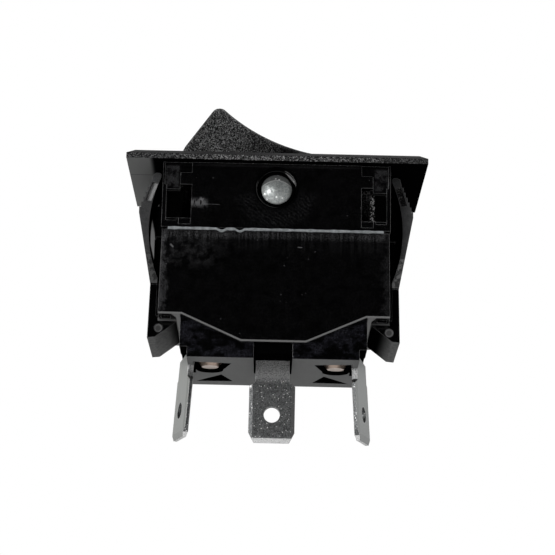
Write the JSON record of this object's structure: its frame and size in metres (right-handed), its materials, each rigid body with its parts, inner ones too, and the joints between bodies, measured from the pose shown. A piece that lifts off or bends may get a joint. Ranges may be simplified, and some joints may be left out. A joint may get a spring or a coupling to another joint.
{
  "type": "panel rocker switch",
  "caption": "Snap-in panel rocker switch, black, with a dished rocker, spring wings under a flat bezel and push-on terminal tabs below.",
  "frame": {"origin": "centre of the bezel's underside, the plane that seats on the panel's front face", "axes": "+Z out of the panel's front, X along the long side, Y across the switch"},
  "size_m": [0.041, 0.022, 0.0455],
  "materials": {
    "body_plastic": "moulded black, polished on the long walls",
    "rocker_plastic": "moulded black with a fine spark-eroded grain",
    "base_plastic": "moulded black, plain",
    "seal": "pale grey, dull",
    "pin_steel": "bright nickel-plated",
    "spring_steel": "drawn wire",
    "tinned_brass": "tin-plated, dull with rubbed marks",
    "plain_brass": "stamped, plain",
    "contact_metal": "copper rivet with a silver face"
  },
  "bodies": {
    "housing": {"bezel_frame": "body_plastic", "pivot_pin": "pin_steel", "joint_gasket": "seal", "lower_case": "body_plastic", "terminal_base": "base_plastic", "common_terminal": "tinned_brass", "left_terminal": "tinned_brass", "right_terminal": "tinned_brass", "left_fixed_contact": "contact_metal", "right_fixed_contact": "contact_metal", "lever_cradle": "plain_brass", "cradle_rivet": "plain_brass"},
    "rocker_body": {"rocker": "rocker_plastic", "plunger_spring": "spring_steel"},
    "plunger_body": {"plunger": "base_plastic"},
    "lever_body": {"contact_lever": "plain_brass", "left_moving_contact": "contact_metal", "right_moving_contact": "contact_metal"}
  },
  "joints": [
    {"name": "rocker_hinge", "type": "hinge", "parent": "housing", "child": "rocker_body", "pos_m": [0, 0, -0.00345], "axis": [0, -1, 0], "range_deg": [0, 35]},
    {"name": "plunger_slide", "type": "slide", "parent": "rocker_body", "child": "plunger_body", "axis": [0.3007, 0, 0.9537], "range_m": [0, 0.0012], "stiffness_N_per_m": 300, "springref_m": -0.002, "deforming": ["plunger_spring"]},
    {"name": "lever_hinge", "type": "hinge", "parent": "housing", "child": "lever_body", "pos_m": [0, 0, -0.0227], "axis": [0, -1, 0], "range_deg": [-16, 0]}
  ],
  "couplings": [
    {"joint": "lever_hinge", "follows": "rocker_hinge", "ratio": -0.45714}
  ]
}
